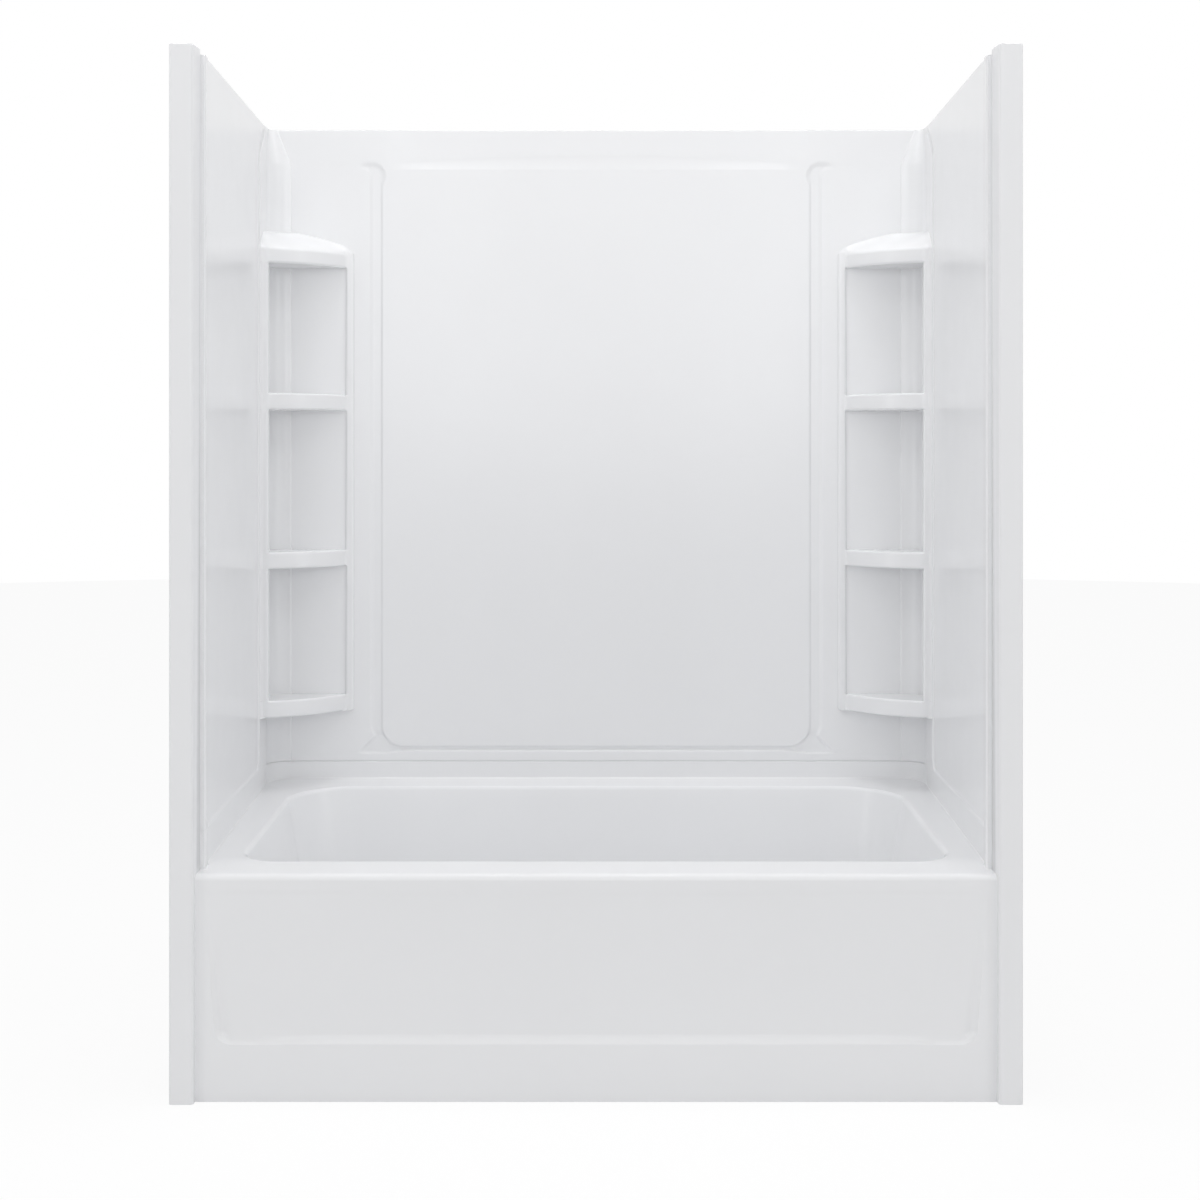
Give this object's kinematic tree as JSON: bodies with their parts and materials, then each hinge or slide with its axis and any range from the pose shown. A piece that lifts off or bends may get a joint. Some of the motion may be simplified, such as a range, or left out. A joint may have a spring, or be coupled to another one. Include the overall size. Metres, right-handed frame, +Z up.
{
  "type": "alcove bathtub with wall surround",
  "caption": "Alcove bath with an integral apron, wall panels with a relief, front columns, corner shelf towers, and a drain with a lift-up stopper.",
  "frame": {"origin": "on the floor, at the middle of the outline of the whole kit", "axes": "+Z up, +X along the bath to the right as seen from the room, +Y from the apron to the back wall"},
  "size_m": [1.53, 0.813, 1.9],
  "materials": {
    "white_shell": "smooth high-gloss white moulding",
    "chrome": "polished",
    "waste_plastic": "moulded white waste pipe",
    "rubber": "matt black",
    "steel": "zinc-plated",
    "foam": "stiff beaded foam",
    "timber": "sawn softwood"
  },
  "bodies": {
    "surround": {"bath": "white_shell", "back_wall": "white_shell", "left_end_wall": "white_shell", "right_end_wall": "white_shell", "left_column": "white_shell", "right_column": "white_shell", "left_shelf_tower": "white_shell", "right_shelf_tower": "white_shell", "left_column_clips": "steel", "right_column_clips": "steel", "left_column_screws": "steel", "right_column_screws": "steel", "left_tower_screws": "steel", "right_tower_screws": "steel", "basin_pads": "foam", "apron_brace": "timber", "rim_batten": "timber", "drain_flange_body": "chrome", "drain_gasket": "rubber", "drain_shoe": "waste_plastic", "shoe_pipe": "waste_plastic", "waste_tee": "waste_plastic", "tailpiece": "waste_plastic", "overflow_pipe": "waste_plastic", "overflow_elbow": "waste_plastic", "overflow_gasket": "rubber", "overflow_plate": "chrome", "overflow_screws": "chrome", "slip_nuts": "waste_plastic", "slip_washers": "rubber", "stopper_post": "steel"},
    "stopper": {"stopper_cap": "chrome", "stopper_gasket": "rubber"}
  },
  "joints": [
    {"name": "stopper_lift", "type": "slide", "parent": "surround", "child": "stopper", "axis": [0, 0, 1], "range_m": [0, 0.009]}
  ]
}
